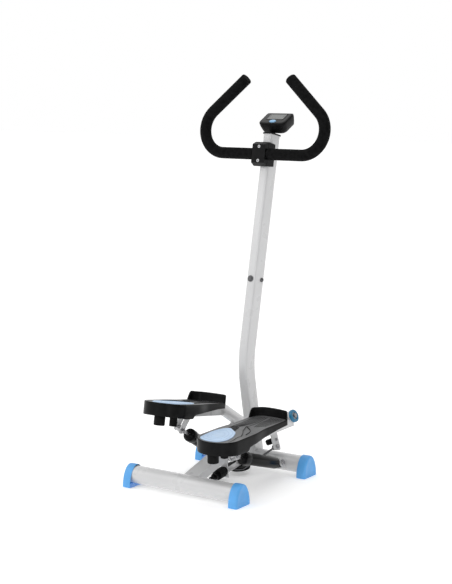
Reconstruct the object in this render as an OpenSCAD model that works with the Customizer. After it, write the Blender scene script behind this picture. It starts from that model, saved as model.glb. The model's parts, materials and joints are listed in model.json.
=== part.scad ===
// Twist stepper with a handlebar post: two pedals on inclined pivots, joined by a cable
// over a pulley, each with a damper, and a console on top of the post.
// Units are millimetres. +Z is up, the user stands at -Y and faces +Y.

/* [Part] */
// The sub-part to draw, or all of them

/* [Base] */
// Diameter of both foot tubes
foot_d = 55; // [40:1:70]
// Distance between the two foot tubes
foot_span = 380; // [300:5:460]
// Overall width over the foot caps
base_w = 420; // [340:5:500]
// Height of the foot tube centres above the floor
foot_z = 36; // [25:1:50]
// Width of a foot cap at the floor
cap_w = 76; // [60:1:90]
// Height of a foot cap
cap_h = 68; // [55:1:80]
// Length of a foot cap along the tube
cap_len = 30; // [20:1:45]
// Width of the flat main beam
beam_w = 50; // [40:1:70]
// Thickness of the main beam
beam_t = 28; // [20:1:40]
// Rise of the main beam towards the post, in degrees
beam_rise = 15.2; // [8:0.1:22]

/* [Post] */
// Width of the post tube across the machine
post_w = 32; // [24:1:40]
// Depth of the post tube front to back
post_d = 55; // [40:1:60]
// Lean of the lower post towards the user, in degrees
lower_lean = 11.2; // [5:0.1:18]
// Lean of the upper post away from the user, in degrees
upper_lean = 11.73; // [5:0.1:18]
// Radius of the bend in the lower post
post_bend_r = 290; // [150:5:400]
// Height of the seam between lower and upper post
seam_z = 643; // [560:1:700]
// Height of the post top
post_top_z = 1057; // [950:1:1150]

/* [Handlebar] */
// Height of the horizontal part of the handlebar
bar_z = 1000; // [900:1:1100]
// Diameter of the steel bar
bar_d = 25; // [20:1:30]
// Outside diameter of the foam grips
foam_d = 36.5; // [26:0.5:38]
// Half length of the straight lower part
bar_half = 145; // [110:1:180]
// Centre-line radius of the bends
bar_r = 75.6; // [55:0.1:95]
// Angle that each bend turns through
bar_turn = 137.6; // [100:0.1:160]
// Length of the straight ends
bar_end = 152.9; // [100:0.1:200]
// Forward tilt of the handlebar plane
bar_tilt = 9.6; // [0:0.1:20]

/* [Pivots] */
// Upward slope of the pivot axles from the post, in degrees
piv_slope = 25; // [10:1:35]
// Diameter of the pivot tubes
piv_d = 38; // [30:1:45]
// Diameter of the pivot axles
axle_d = 18; // [12:1:24]
// Distance along the axle from the post middle to the outer face of the end cap
piv_len = 171; // [150:1:190]
// Swing of the right pedal at rest, heel down positive
right_rest = 2.73; // [-19:0.01:11]
// Swing of the left pedal at rest, heel down positive
left_rest = -10.75; // [-19:0.01:11]

/* [Pedals] */
// Length of a pedal
ped_l = 340; // [300:1:380]
// Half width of a pedal at the toe
ped_toe = 60.5; // [50:0.5:70]
// Half width of a pedal at the heel
ped_heel = 69.5; // [55:0.5:80]
// Height of the toe guard above the tread
guard_h = 27; // [15:1:40]
// Length of the guard along the side of the pedal
guard_len = 44; // [30:1:100]

/* [Dampers] */
// Diameter of the damper cylinders
damp_d = 38; // [28:1:44]
// Length of the cylinder from the lug bolt to its open end
damp_l = 212; // [180:1:230]
// Diameter of the damper rods
rod_d = 10; // [6:1:14]

/* [Hidden] */
$fn = 72;
eps = 0.01;

// Colours
white = [0.93, 0.93, 0.94];
sky = [0.36, 0.66, 0.96];
teal = [0.05, 0.5, 0.68];
pale = [0.72, 0.85, 0.96];
black = [0.07, 0.07, 0.075];
foam = [0.1, 0.1, 0.1];
steel = [0.75, 0.76, 0.78];
glass = [0.3, 0.32, 0.31];

// The base frame has its own zero half way between the foot tubes.
frame_y = -55.76;
foot_r = foot_d / 2;
foot_y = foot_span / 2;

// Post: two straight runs that meet at a bend
bend_y = 138;
bend_z = 345;
post_turn = lower_lean + upper_lean;
bend_tan = post_bend_r * tan(post_turn / 2);
post_round = 8;
wall = 2;
joint_bolt_z = 608;

// Handlebar and clamp
bar_y = 225;
clamp_w = 48;
foam_gap = 4;
recess_d = 33;
side_bolt_y = 11;

// Beam
beam_y0 = -41;
beam_z0 = 87;

// Pivot axes
piv_y = 185;
piv_z = 119;
piv_axis = [cos(piv_slope), 0, sin(piv_slope)];
piv_in = 29;
cap_t = 10;
tube_out = piv_len - cap_t;
ear_at = 74;
ear_lean = 15;
ear_t = 5;
bolt_up = 51;
bolt_low = 73;

// Pedal arm, in the pedal's own frame
ped_x = 122.5;
ped_y = 100.9;
ped_z = 203;
ped_pitch = -1.15;
ped_yaw = -2.2;
arm_w = 38;
arm_t = 26;
arm_drop = 19;
arm_x = 3;
arm_end = 262;
deck_t = 4;
skin = 3;

// Damper ends
lug = [121, 146, 40];
eye_rest = [107.5, -98, 127];
eye_d = 22;
eye_w = 16;
clevis_t = 3;
clevis_gap = eye_w + 2;
slack_d = 17.8;
rod_eye_w = 12.6;
head_slack = 2.6;
pin_d = 7;

// Cable pulley
pul_y = 101;
pul_z = 24;
pul_d = 72;
pul_t = 12;
pul_tilt = 7;
screw_up = 13;

// Console
con_y = 308;
con_z = 1109;
con_tilt = 27;
con_w = 98;
con_d = 69;
con_t = 38;

// ---------- Helpers ----------
module placed() translate([0, frame_y, 0]) children();
module rod(d, l) cylinder(d = d, h = l);
module mid_rod(d, l) cylinder(d = d, h = l, center = true);

function unit(v) = v / norm(v);

// A point or a vector turned about the pivot axis, heel down positive
function turned(v, a) = v * cos(a) + cross(piv_axis, v) * sin(a)
    + piv_axis * (piv_axis * v) * (1 - cos(a));
function swung(p, a) = turned(p - [0, piv_y, piv_z], a) + [0, piv_y, piv_z];

module swing(a) translate([0, piv_y, piv_z]) rotate(a = a, v = piv_axis)
    translate([0, -piv_y, -piv_z]) children();

module right_arm_frame() placed() swing(right_rest) children();
module left_arm_frame() placed() mirror([1, 0, 0]) swing(left_rest) children();

// Local Z runs outwards along the pivot axis, local -Y points at the user, local X is downwards
module on_pivot(s = 0, lean = 0) translate([0, piv_y, piv_z]) rotate([0, 90 - piv_slope, 0])
    rotate(-lean) translate([0, 0, s]) children();

module pedal_frame() translate([ped_x, ped_y, ped_z]) rotate([ped_pitch, 0, ped_yaw]) children();

// Frame with local X along the damper's hinge and local Z from the lug to the rod's eye
hinge = unit(cross(swung(eye_rest, -18) - lug, swung(eye_rest, 10) - lug)) * -1;
module basis(o, x, z) {
    y = cross(z, x);
    multmatrix([[x[0], y[0], z[0], o[0]], [x[1], y[1], z[1], o[1]], [x[2], y[2], z[2], o[2]]])
        children();
}
function flat_to(v, n) = unit(v - n * (v * n));
module damper_frame(a) {
    z = unit(swung(eye_rest, a) - lug);
    basis(lug, flat_to(hinge, z), z) children();
}
function damper_len(a) = norm(swung(eye_rest, a) - lug);
module right_damper() placed() damper_frame(right_rest) children();
module left_damper() placed() mirror([1, 0, 0]) damper_frame(left_rest) children();

module round_slab(w, d, r) {
    square([w - 2 * r, d], center = true);
    square([w, d - 2 * r], center = true);
    for (x = [-1, 1], y = [-1, 1]) translate([x * (w / 2 - r), y * (d / 2 - r)]) circle(r);
}

module washer(d, bore, t) difference() {
    rod(d, t);
    translate([0, 0, -1]) rod(bore, t + 2);
}

// Hexagon head with a shank below it, standing on z = 0
module hex_bolt(d, l, head = 1.65, head_t = 0.65) {
    cylinder(d = d * head * 1.12, h = d * head_t, $fn = 6);
    translate([0, 0, -l]) rod(d, l + eps);
}

// Socket head with a shank below it
module socket_bolt(d, l) {
    difference() {
        rod(d * 1.6, d * 0.8);
        translate([0, 0, d * 0.3]) cylinder(d = d * 0.85, h = d, $fn = 6);
    }
    translate([0, 0, -l]) rod(d, l + eps);
}

// ---------- Base ----------
module foot_tube(y) translate([0, y, foot_z]) rotate([0, 90, 0]) difference() {
    mid_rod(foot_d, base_w - 10);
    mid_rod(foot_d - 2 * wall, base_w);
}

module cap_outline() intersection() {
    scale([cap_w / 2, cap_h]) circle(1);
    translate([-cap_w, 0]) square([2 * cap_w, cap_h]);
}

// An arched plastic shoe closed at its outer end
module foot_cap(y) for (s = [0, 1]) mirror([s, 0, 0])
    translate([base_w / 2 - cap_len, y, 0]) difference() {
        rotate([90, 0, 90]) linear_extrude(cap_len) cap_outline();
        translate([-1, 0, foot_z]) rotate([0, 90, 0]) rod(foot_d, cap_len - 4);
    }

module rear_foot_tube() color(white) placed() foot_tube(-foot_y);
module front_foot_tube() color(white) placed() foot_tube(foot_y);
module rear_foot_caps() color(sky) placed() foot_cap(-foot_y);
module front_foot_caps() color(sky) placed() foot_cap(foot_y);

module main_beam() color(white) placed() difference() {
    translate([0, beam_y0, beam_z0]) rotate([beam_rise, 0, 0]) difference() {
        translate([-beam_w / 2, -150, -beam_t]) cube([beam_w, 400, beam_t]);
        translate([-beam_w / 2 + wall, -151, -beam_t + wall])
            cube([beam_w - 2 * wall, 402, beam_t - 2 * wall]);
    }
    translate([0, -foot_y, foot_z]) rotate([0, 90, 0]) mid_rod(foot_d, beam_w + 2);
    post_mask();
    for (s = [0, 1]) mirror([s, 0, 0]) on_pivot() rod(piv_d + 3, 80);
}

// ---------- Post ----------
module post_section(inset = 0) rotate(90)
    round_slab(post_d - 2 * inset, post_w - 2 * inset, post_round - inset);

// Frames that run up each straight part of the post, zero at the bend's ends
module lower_run() translate([0, bend_y, bend_z]) rotate([lower_lean, 0, 0])
    translate([0, 0, -bend_tan]) children();
module upper_run() translate([0, bend_y, bend_z]) rotate([-upper_lean, 0, 0])
    translate([0, 0, bend_tan]) children();
lower_len = (bend_z - foot_z) / cos(lower_lean) - bend_tan;
seam_at = (seam_z - bend_z) / cos(upper_lean) - bend_tan;
bolt_at = (joint_bolt_z - bend_z) / cos(upper_lean) - bend_tan;
top_at = (post_top_z - bend_z) / cos(upper_lean) - bend_tan;

weld = 0.03;
// The whole lower tube in one frame: straight, bend, straight, with a fine weld at each seam
module post_run(inset) lower_run() {
    translate([0, 0, -lower_len]) linear_extrude(lower_len) post_section(inset);
    translate([0, post_bend_r, 0]) {
        rotate([90, 0, -90]) rotate_extrude(angle = post_turn) translate([post_bend_r, 0])
            round_slab(post_d - 2 * inset, post_w - 2 * inset, post_round - inset);
        rotate([-post_turn, 0, 0]) translate([0, -post_bend_r, 0]) {
            linear_extrude(seam_at) post_section(inset);
            linear_extrude(0.6, center = true) post_section(inset - weld);
        }
    }
    linear_extrude(0.6, center = true) post_section(inset - weld);
}

// Solid stand-in for everything on the user's side of the post and beyond
module post_mask() lower_run() translate([0, 0, -lower_len]) {
    linear_extrude(lower_len + 20) post_section();
    translate([-beam_w, 0, -10]) cube([2 * beam_w, 200, lower_len + 30]);
}

module lower_post() color(white) placed() difference() {
    post_run(0);
    post_run(wall);
    translate([0, foot_y, foot_z]) rotate([0, 90, 0]) mid_rod(foot_d, post_w + 2);
    on_pivot() mid_rod(axle_d + 6, 60);
    mirror([1, 0, 0]) on_pivot() mid_rod(axle_d + 6, 60);
    joint_bolt_holes();
}

// The upper tube with the sleeve welded into it, which slides into the lower post
module upper_post() color(white) placed() upper_run() {
    translate([0, 0, seam_at]) linear_extrude(top_at - seam_at) difference() {
        post_section();
        post_section(wall);
    }
    difference() {
        translate([0, 0, seam_at - 80]) linear_extrude(120) difference() {
            post_section(wall);
            post_section(2 * wall + 1);
        }
        translate([0, -post_d / 2, bolt_at]) rotate([90, 0, 0]) mid_rod(8.2, 40);
        translate([post_w / 2, side_bolt_y, bolt_at]) rotate([0, 90, 0]) mid_rod(8.2, 30);
        translate([0, 0, seam_at - 81]) linear_extrude(81) difference() {
            post_section();
            post_section(wall + 0.3);
        }
    }
}

// The joint has one bolt in the face towards the user and one in the right side
module at_face_bolt() upper_run() translate([0, 0, bolt_at]) rotate([90, 0, 0])
    translate([0, 0, post_d / 2]) children();
module at_side_bolt() upper_run() translate([post_w / 2, side_bolt_y, bolt_at])
    rotate([0, 90, 0]) children();
module joint_bolt_holes() {
    at_face_bolt() translate([0, 0, -14]) rod(8.2, 20);
    at_side_bolt() translate([0, 0, -12]) rod(8.2, 20);
}

module joint_bolt(l) translate([0, 0, 2]) {
    intersection() {
        rod(14, 4.6);
        translate([0, 0, -4]) sphere(d = 17);
    }
    translate([0, 0, -l]) rod(8, l + eps);
}
module post_joint_bolts() color(steel) placed() {
    at_face_bolt() joint_bolt(14);
    at_side_bolt() joint_bolt(11);
}

// Saddle washers that follow the round edge of the post
module post_joint_washers() color(steel) placed() {
    at_face_bolt() difference() {
        translate([0, 0, -3]) rod(20, 5);
        translate([0, 0, -6]) rod(8.2, 12);
        rotate([90, 0, 0]) translate([0, -post_d / 2, 0]) linear_extrude(60, center = true)
            post_section_side();
    }
    at_side_bolt() difference() {
        rod(14, 2);
        translate([0, 0, -1]) rod(8.2, 4);
    }
}
module post_section_side() round_slab(post_w, post_d, post_round);

// ---------- Pivots ----------
module pivot_axles() color(steel) placed() {
    for (s = [0, 1]) mirror([s, 0, 0]) intersection() {
        difference() {
            union() {
                on_pivot() rod(axle_d, tube_out - 0.5);
                on_pivot() rod(axle_d + 6, piv_in - 0.8);
            }
            on_pivot(tube_out - 26) rod(10, 40);
        }
        translate([0, piv_y - 50, 0]) cube([200, 100, 300]);
    }
}

// Shared by both sides: drawn for the right and mirrored for the left
module pivot_tube() difference() {
    union() {
        on_pivot(piv_in) rod(piv_d, tube_out - piv_in);
        on_pivot(ear_at, ear_lean) linear_extrude(ear_t, center = true) {
            translate([0, -16]) square([bolt_low, 32]);
            translate([bolt_low, 0]) intersection() {
                circle(16);
                translate([-16, -16]) square([27, 32]);
            }
        }
    }
    on_pivot(piv_in - 1) rod(piv_d - 6, tube_out - piv_in + 2);
    on_pivot(ear_at, ear_lean) {
        translate([bolt_up, 0, 0]) mid_rod(6.2, 20);
        translate([bolt_low, 0, 0]) mid_rod(8.2, 20);
    }
}

module pivot_bushes() for (s = [piv_in, tube_out - 26]) on_pivot(s) difference() {
    rod(piv_d - 6, 26);
    translate([0, 0, -1]) rod(axle_d + 0.1, 28);
}

module end_cap() on_pivot(tube_out) difference() {
    union() {
        rod(piv_d + 3, cap_t - 2.5);
        rod(piv_d - 1, cap_t - 0.5);
    }
    translate([0, 0, cap_t - 5]) rod(22, 10);
    translate([0, 0, -1]) rod(11, 20);
}

module end_bolt() on_pivot(tube_out + 0.5 + cap_t - 5) {
    washer(20, 10, 1.6);
    translate([0, 0, 1.6]) hex_bolt(10, 24, 1.45, 0.55);
}

module ear_bolt_at(b, s = 1) on_pivot(ear_at, ear_lean) translate([b, 0, s * ear_t / 2])
    children();

module ear_bolts() {
    ear_bolt_at(bolt_up) socket_bolt(6, 34);
    ear_bolt_at(bolt_low) {
        hex_bolt(8, 16);
    }
}

module ear_roller() ear_bolt_at(bolt_up, -1) translate([0, 0, -29]) difference() {
    union() {
        rod(19, 18);
        rod(12, 29);
    }
    translate([0, 0, -1]) rod(6, 31);
}

// ---------- Pedal arm ----------
module clevis_axis() {
    z = flat_to([0, 0, 1], hinge);
    basis(eye_rest, hinge, z) children();
}

module pedal_arm() {
    difference() {
        pedal_frame() translate([arm_x - arm_w / 2, -arm_end, -arm_drop - arm_t]) difference() {
            cube([arm_w, arm_end + 90, arm_t]);
            translate([wall, -1, wall])
                cube([arm_w - 2 * wall, arm_end + 92, arm_t - 2 * wall]);
        }
        on_pivot() mid_rod(piv_d, 400);
    }
    difference() {
        clevis_axis() for (s = [-1, 1]) translate([s * (clevis_gap + clevis_t) / 2, 0, 0])
            rotate([0, 90, 0]) linear_extrude(clevis_t, center = true) difference() {
                union() {
                    circle(12.5);
                    translate([-22, 0]) square([44, 25], center = true);
                }
                circle(d = slack_d);
            }
        pedal_frame() translate([0, -100, -arm_drop - arm_t + 100 - 3]) cube([200, 400, 200],
            center = true);
    }
    // The plate that carries both clevis cheeks
    intersection() {
        pedal_frame() translate([0, 0, -arm_drop - arm_t - 3]) linear_extrude(3)
            translate([-100, -300]) square([200, 300]);
        clevis_axis() translate([0, 0, 25]) cube([clevis_gap + 2 * clevis_t + 3, 30, 70],
            center = true);
    }
}

// ---------- Pedal ----------
function ease(t) = t * t * (3 - 2 * t);
toe_corner = 13;
toe_round = 40;
toe_bulge = 8;
heel_r = 58;
waist = [114, 202];
function half_w(u) = u < waist[0] ? ped_toe : u < waist[1]
    ? ped_toe + (ped_heel - ped_toe) * ease((u - waist[0]) / (waist[1] - waist[0])) : ped_heel;

// One edge of the plan outline, from the middle of the toe to the heel
function edge_points(inset, corner) = concat(
    [for (x = [0:8:ped_toe - corner - 1]) [x, toe_bulge * (1 - pow(x / ped_toe, 2)) - inset]],
    [for (a = [0:15:90]) [ped_toe - corner + (corner - inset) * sin(a),
        toe_bulge * (1 - pow(1 - corner / ped_toe, 2)) - corner + (corner - inset) * cos(a)]],
    [for (u = [waist[0]:11:waist[1]]) [half_w(u) - inset, -u]],
    [for (a = [0:7.5:82.5]) [(ped_heel - inset) * cos(a),
        -(ped_l - heel_r) - (heel_r - inset) * sin(a)]]);
// Whole outline: the guarded corner of the toe, at -X, is rounder than the other one
function outline(inset) = let (p = edge_points(inset, toe_corner),
    q = edge_points(inset, toe_round))
    concat(p, [[0, -ped_l + inset]], [for (i = [len(q) - 1:-1:1]) [-q[i][0], q[i][1]]]);

// Side view of the skirt: shallow at the toe, stepped down for the damper end
module skirt_side() polygon([[-ped_l - 1, -39], [-ped_l + 40, -42], [-270, -44], [-230, -44],
    [-222, -34], [-120, -26], [-50, -19], [20, -16], [20, 0], [-ped_l - 1, 0]]);
module along_x(w) rotate([90, 0, 90]) linear_extrude(w, center = true) children();

module guard_zone() {
    translate([-ped_toe - 5, -guard_len, -deck_t]) cube([40, guard_len, guard_h + 6]);
    translate([-ped_toe - 5, -16, -deck_t]) cube([2 * ped_toe + 10, 30, guard_h + 6]);
}
module guard_side_view() polygon([[20, -deck_t], [20, guard_h - 3], [0, guard_h],
    [-guard_len + 22, guard_h], [-guard_len + 12, guard_h - 4], [-guard_len, -deck_t]]);

// Both pedals are the same moulding: the guard is on the -X edge of each
module pedal(side) pedal_frame() mirror([(1 - side) / 2, 0, 0]) {
    difference() {
        intersection() {
            translate([0, 0, -60]) linear_extrude(60) polygon(outline(0));
            along_x(200) skirt_side();
        }
        translate([0, 0, -61]) linear_extrude(61 - deck_t) polygon(outline(skin));
    }
    // Raised wall round the toe
    intersection() {
        translate([0, 0, -deck_t]) linear_extrude(guard_h + deck_t) difference() {
            polygon(outline(0));
            polygon(outline(5));
        }
        guard_zone();
        along_x(200) guard_side_view();
    }
    // Ribs and posts that stand the deck on the arm
    for (u = [30, 90, 150, 205, 250]) translate([side * arm_x - 30, -u, -arm_drop])
        cube([60, 4, arm_drop - deck_t + eps]);
    translate([0, -bumper_u, -40]) difference() {
        rod(30, 40 - deck_t + eps);
        translate([0, 0, -1]) rod(10, 30);
    }
}

bumper_u = 314;
bumper_in = 244;

// Leaf-shaped heel pad, its tip towards the inner edge
module pad_outline() intersection() {
    union() {
        translate([-17, -254]) rotate(14) scale([47, 80]) circle(1);
        translate([-8, -275]) circle(50);
    }
    polygon(outline(8));
}
module pedal_pad() pedal_frame() linear_extrude(2) pad_outline();

module bumpers() pedal_frame() {
    translate([0, -bumper_u, -69]) {
        rod(34, 29);
        rod(10, 55);
    }
    translate([eye_rest[0] - ped_x + 6, -bumper_in, -73]) {
        rod(24, 28);
    }
}

// ---------- Dampers ----------
module damper_cylinder() difference() {
    union() {
        translate([0, 0, 22]) rod(damp_d, damp_l - 22 - 30);
        rotate([0, 90, 0]) mid_rod(eye_d + 2, eye_w);
        translate([-eye_w / 2, -9, 0]) cube([eye_w, 18, 24]);
    }
    translate([0, 0, 34]) rod(damp_d - 5, damp_l);
    rotate([0, 90, 0]) mid_rod(10.1, eye_w + 2);
}

module damper_collar() difference() {
    union() {
        translate([0, 0, damp_l - 30]) rod(damp_d + 4, 26);
        translate([0, 0, damp_l - 4]) rod(damp_d - 8, 4);
        translate([0, 0, damp_l - 40]) rod(damp_d - 5.6, 12);
    }
    translate([0, 0, damp_l - 41]) rod(rod_d + 0.1, 50);
}

// Rod with a piston inside the cylinder and an eye at the clevis
module damper_rod(l) {
    difference() {
        union() {
            translate([0, 0, 92]) rod(rod_d, l - 92 - 9);
            translate([0, 0, 92]) rod(damp_d - 5.6, 10);
            translate([0, 0, l]) rotate([0, 90, 0]) mid_rod(eye_d - 2, rod_eye_w);
        }
        translate([0, 0, l]) rotate([0, 90, 0]) mid_rod(pin_d, eye_w + 2);
    }
}

module clevis_bolt(l) translate([0, 0, l]) {
    half = clevis_gap / 2 + clevis_t + head_slack;
    rotate([0, 90, 0]) mid_rod(pin_d, 2 * half);
    for (s = [0, 1]) mirror([s, 0, 0]) translate([half, 0, 0]) rotate([0, 90, 0]) {
        rod(19, 1.6);
        translate([0, 0, 1.6]) cylinder(d = 13, h = 4.5, $fn = 6);
    }
}

// Two cheeks on the front foot tube hold each damper's lower eye
module lug_frame() basis(lug, hinge, flat_to([0, foot_y, foot_z] - [0, lug[1], lug[2]], hinge))
    children();
module damper_lugs() color(white) placed() for (s = [0, 1]) mirror([s, 0, 0]) difference() {
    lug_frame() for (e = [-1, 1]) translate([e * (clevis_gap + clevis_t) / 2, 0, 0])
        rotate([0, 90, 0]) linear_extrude(clevis_t, center = true) difference() {
            union() {
                circle(14);
                translate([-20, 0]) square([40, 28], center = true);
            }
            circle(d = 10);
        }
    translate([0, foot_y, foot_z]) rotate([0, 90, 0]) mid_rod(foot_d, base_w);
}
module damper_lug_bolts() color(steel) placed() for (s = [0, 1]) mirror([s, 0, 0])
    lug_frame() {
        half = clevis_gap / 2 + clevis_t;
        rotate([0, 90, 0]) mid_rod(10, 2 * half);
        translate([half, 0, 0]) rotate([0, 90, 0]) intersection() {
            rod(18, 6);
            translate([0, 0, -6]) sphere(d = 23);
        }
        translate([-half, 0, 0]) rotate([0, -90, 0]) cylinder(d = 17.5, h = 6, $fn = 6);
    }

// ---------- Cable ----------
// Local frame of the pulley: Z is its spindle
module pulley_frame() translate([0, pul_y, pul_z]) rotate([pul_tilt, 0, 0]) children();

module cable_pulley() color(black) placed() pulley_frame() difference() {
    mid_rod(pul_d, pul_t);
    rotate_extrude() translate([pul_d / 2, 0]) circle(d = 7);
    mid_rod(10.1, pul_t + 2);
    for (s = [-1, 1]) translate([0, 0, s * pul_t / 2]) difference() {
        mid_rod(pul_d - 16, 4);
        mid_rod(24, 5);
    }
}

// Hanging strap with an arm that carries the spindle above the pulley
strap_w = 24;
strap_back = 76;
module pulley_bracket() color(white) placed() {
    pulley_frame() translate([0, 0, pul_t / 2 + 2.25]) difference() {
        union() {
            translate([-strap_w / 2, -strap_back, -1.5]) cube([strap_w, strap_back, 3]);
            mid_rod(strap_w, 3);
        }
        mid_rod(10, 10);
    }
    difference() {
        pulley_frame() translate([-strap_w / 2, -strap_back - 3, -pul_t / 2 - 3.75])
            cube([strap_w, 3, 90]);
        pulley_frame() translate([0, -strap_back, screw_up]) rotate([90, 0, 0]) mid_rod(8, 20);
        translate([0, beam_y0, beam_z0]) rotate([beam_rise, 0, 0])
            translate([-50, -200, -beam_t]) cube([100, 500, 100]);
    }
}

module pulley_bolt() color(steel) placed() pulley_frame() {
    translate([0, 0, -pul_t / 2 - 1]) rod(10, pul_t + 4.75);
    translate([0, 0, pul_t / 2 + 3.75]) cylinder(d = 18, h = 6, $fn = 6);
    translate([0, 0, -pul_t / 2 - 4]) rod(17, 3.2);
}

module screw_frame() pulley_frame() translate([0, -strap_back - 3, screw_up])
    rotate([90, 0, 0]) children();
module adjuster_screw() color(steel) placed() screw_frame() {
    translate([0, 0, -3]) rod(8, 93);
}
module adjuster_knob() color(black) placed() screw_frame() difference() {
    union() {
        translate([0, 0, 1]) rod(26, 8);
        translate([0, 0, 9]) rod(33, 34);
        translate([0, 0, 43]) rod(22, 16);
        translate([0, 0, 59]) rod(13, 18);
    }
    translate([0, 0, 0]) rod(8.1, 60);
    translate([0, 0, 59]) rod(8.1, 40);
    for (a = [0:30:330]) rotate(a) translate([17.8, 0, 5]) rod(5, 42);
}

// Cable: half a turn round the user's side of the pulley and a straight run to each ear
cable_d = 4;
groove_r = pul_d / 2 - 1.5;
right_leaves = -32.7;
left_leaves = -36.4;
function pulley_point(a) = [groove_r * cos(a), pul_y + groove_r * sin(a) * cos(pul_tilt),
    pul_z + groove_r * sin(a) * sin(pul_tilt)];
function ear_point(b, s) = [0, piv_y, piv_z] + piv_axis * s
    + turned([b * sin(piv_slope), 0, -b * cos(piv_slope)], -ear_lean);
cable_eye = ear_point(bolt_low, ear_at - 9);
right_eye = swung(cable_eye, right_rest);
left_eye = swung(cable_eye, left_rest);
module link(p, q, d) {
    v = q - p;
    translate(p) rotate([0, acos(v[2] / norm(v)), atan2(v[1], v[0])]) rod(d, norm(v));
}
function tip(eye, a) = eye + unit(pulley_point(a) - eye) * 46;
// Three lengths of the cable: the straight runs start clear of the pulley's rim and end short
// of the threaded ends, which swing with the arms
rim_gap = 16.5;
end_gap = 10;
module cable_run(eye, leaves) {
    from = pulley_point(leaves);
    aim = unit(eye - from);
    link(from + aim * rim_gap, tip(eye, leaves) - aim * end_gap, cable_d);
}
module step_cable() color(steel) placed() {
    pulley_frame() rotate(180.5 - left_leaves)
        rotate_extrude(angle = 179 + left_leaves + right_leaves)
            translate([groove_r, 0]) circle(d = cable_d);
    cable_run(right_eye, right_leaves);
    mirror([1, 0, 0]) cable_run(left_eye, left_leaves);
}

// Eye and threaded end that the cable is crimped into
module cable_end(a, leaves) {
    to = swung(pulley_point(leaves), -a);
    aim = unit(to - cable_eye);
    difference() {
        union() {
            link(cable_eye, cable_eye + aim * 46, 6.5);
            on_pivot(ear_at - 9, ear_lean) translate([bolt_low, 0, 0]) mid_rod(16, 9);
        }
        on_pivot(ear_at - 9, ear_lean) translate([bolt_low, 0, 0]) mid_rod(8.2, 24);
    }
}

// ---------- Handlebar ----------
module bar_frame() translate([0, bar_y, bar_z]) rotate([-bar_tilt, 0, 0]) children();

// The bar's route from a distance off the middle to its ends, with a fine weld at each bend's end
module bar_run(d, from, tail = 0) for (s = [0, 1]) mirror([s, 0, 0]) {
    translate([from, 0, 0]) rotate([0, 90, 0]) rod(d, bar_half - from);
    translate([bar_half, 0, bar_r]) rotate([90, 0, 0]) {
        rotate(-90) rotate_extrude(angle = bar_turn) translate([bar_r, 0]) circle(d = d);
        rotate(bar_turn - 90) translate([bar_r, 0, 0]) rotate([-90, 0, 0]) {
            rod(d, bar_end + tail);
            mid_rod(d + 0.05, 0.6);
        }
    }
}

module handlebar_tube() color(steel) placed() bar_frame() difference() {
    bar_run(bar_d, 0);
    bar_run(bar_d - 3, 0, 1);
}

module foam_grips() color(foam) placed() bar_frame() difference() {
    bar_run(foam_d, clamp_w / 2 + foam_gap, 5);
    bar_run(bar_d, clamp_w / 2);
}

// Clamp halves meet in the plane of the bar's axis
near = 18;
far = 39;
// Round recess about the bar in each side of the clamp
module clamp_recess() for (s = [-1, 1]) translate([s * clamp_w / 2, 0, 0])
    rotate([0, 90, 0]) mid_rod(recess_d, 10);
module clamp_front() color(black) placed() bar_frame() difference() {
    along_x(clamp_w) polygon([[-near, -29], [-near, 29], [-1, 38], [-1, -38]]);
    rotate([0, 90, 0]) mid_rod(bar_d, clamp_w + 2);
    clamp_recess();
    for (z = [-1, 1]) translate([0, -near - 1, z * 22]) rotate([-90, 0, 0]) rod(6.2, 40);
    for (z = [-1, 1]) translate([0, -near - 1, z * 22]) rotate([-90, 0, 0]) rod(12, 6);
}
module clamp_rear() color(black) placed() difference() {
    bar_frame() difference() {
        along_x(clamp_w) polygon([[1, -38], [1, 38], [far, 35], [far, -35]]);
        rotate([0, 90, 0]) mid_rod(bar_d, clamp_w + 2);
        clamp_recess();
        for (z = [-1, 1]) translate([0, -1, z * 22]) rotate([-90, 0, 0]) rod(6, 18);
    }
    upper_run() translate([0, 0, top_at - 180]) linear_extrude(300) {
        post_section();
        translate([-post_w / 2, 0]) square([post_w, 60]);
    }
}
module clamp_bolts() color(steel) placed() bar_frame() for (z = [-1, 1])
    translate([0, -near + 5, z * 22]) rotate([90, 0, 0]) socket_bolt(6, 28);

// ---------- Console ----------
module console_frame() translate([0, con_y, con_z]) rotate([con_tilt, 0, 0]) children();

module console_mount() color(black) placed() upper_run() translate([0, 0, top_at]) {
    linear_extrude(4) round_slab(post_w + 6, post_d + 6, post_round + 3);
    translate([0, 0, -20]) linear_extrude(20) post_section(wall + 0.05);
    difference() {
        translate([0, 0, 4]) rod(26, 30);
        in_upper_run() translate([-60, -60, -con_t]) cube([120, 120, 100]);
    }
}
// The console's frame seen from the upper run's own frame
module in_upper_run() translate([0, 0, -top_at - bend_tan]) rotate([upper_lean, 0, 0])
    translate([0, -bend_y, -bend_z]) console_frame() children();

module face_outline(inset = 0) {
    w = con_w - 2 * inset;
    d = con_d - 2 * inset;
    hull() {
        for (s = [-1, 1]) {
            translate([s * (w / 2 - 26), -d / 2 + 26]) circle(26);
            translate([s * (w / 2 - 12), d / 2 - 12]) circle(12);
        }
    }
}

module console_case() color(black) placed() console_frame() difference() {
    hull() {
        translate([0, 0, -6]) linear_extrude(3) face_outline($fn = 32);
        translate([0, 1, -con_t]) linear_extrude(2) face_outline(6, $fn = 32);
    }
    translate([0, 0, -con_t + 3]) linear_extrude(con_t) face_outline(9, $fn = 32);
    translate([0, -20, -12]) rod(20, 20);
}

module console_bezel() color(black) placed() console_frame() difference() {
    translate([0, 0, -3]) linear_extrude(3) face_outline($fn = 32);
    translate([0, 9, -4]) linear_extrude(10) round_slab(56, 30, 3);
    translate([0, -20, -4]) rod(15.6, 10);
}

module lcd_window() color(glass) placed() console_frame() translate([0, 9, -4])
    linear_extrude(3) round_slab(56, 30, 3);

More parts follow.
